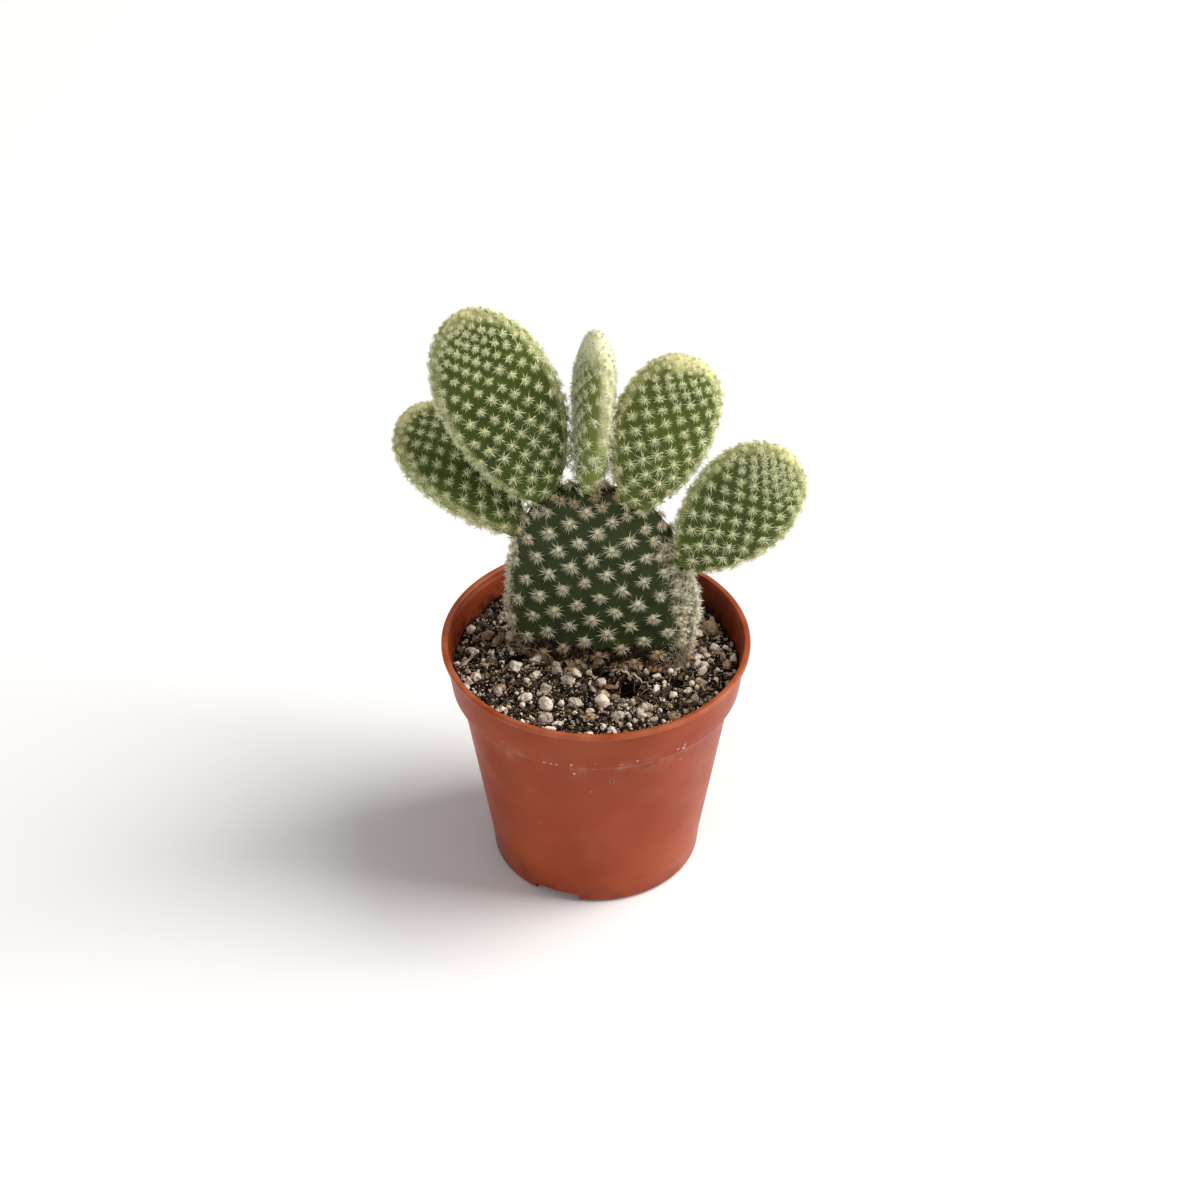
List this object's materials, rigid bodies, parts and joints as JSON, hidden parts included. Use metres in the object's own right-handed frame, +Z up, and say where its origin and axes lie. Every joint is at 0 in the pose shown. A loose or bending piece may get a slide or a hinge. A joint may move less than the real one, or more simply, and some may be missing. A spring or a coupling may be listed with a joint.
{
  "type": "potted bunny ears cactus",
  "caption": "Small flat-padded cactus, young pads growing from the edge of an old one and covered in dots of fuzz, planted in gritty mix in a round terracotta-coloured nursery pot.",
  "frame": {"origin": "on the surface that the pot stands on, at the centre of the pot's footprint; the plant's spread is even about it to within 1 mm", "axes": "+Z up; the flat sides of the old pad face -Y and +Y, and the picture looks from the -Y side, from where +X is to the right"},
  "size_m": [0.1109, 0.085, 0.1635],
  "materials": {
    "pot_plastic": "satin",
    "potting_mix": "matte",
    "old_pad_skin": "matte",
    "young_pad_skin": "matte",
    "glochids": "matte",
    "perlite": "matte",
    "pumice": "matte",
    "bark": "matte"
  },
  "bodies": {
    "root": {"nursery_pot": "pot_plastic", "potting_mix": "potting_mix", "main_pad": "old_pad_skin", "pad_left": "young_pad_skin", "pad_far_left": "young_pad_skin", "pad_center": "young_pad_skin", "pad_right": "young_pad_skin", "pad_far_right": "young_pad_skin", "perlite_grain_1": "perlite", "perlite_grain_2": "perlite", "perlite_grain_3": "perlite", "perlite_grain_4": "perlite", "perlite_grain_5": "perlite", "perlite_grain_6": "perlite", "perlite_grain_7": "perlite", "perlite_grain_8": "perlite", "perlite_grain_9": "perlite", "perlite_grain_10": "perlite", "perlite_grain_11": "perlite", "pumice_grain_1": "pumice", "pumice_grain_2": "pumice", "pumice_grain_3": "pumice", "pumice_grain_4": "pumice", "pumice_grain_5": "pumice", "pumice_grain_6": "pumice", "pumice_grain_7": "pumice", "pumice_grain_8": "pumice", "bark_chip_1": "bark", "bark_chip_2": "bark", "bark_chip_3": "bark", "bark_chip_4": "bark", "bark_chip_5": "bark", "bark_chip_6": "bark", "bark_chip_7": "bark", "bark_chip_8": "bark"}
  },
  "joints": []
}
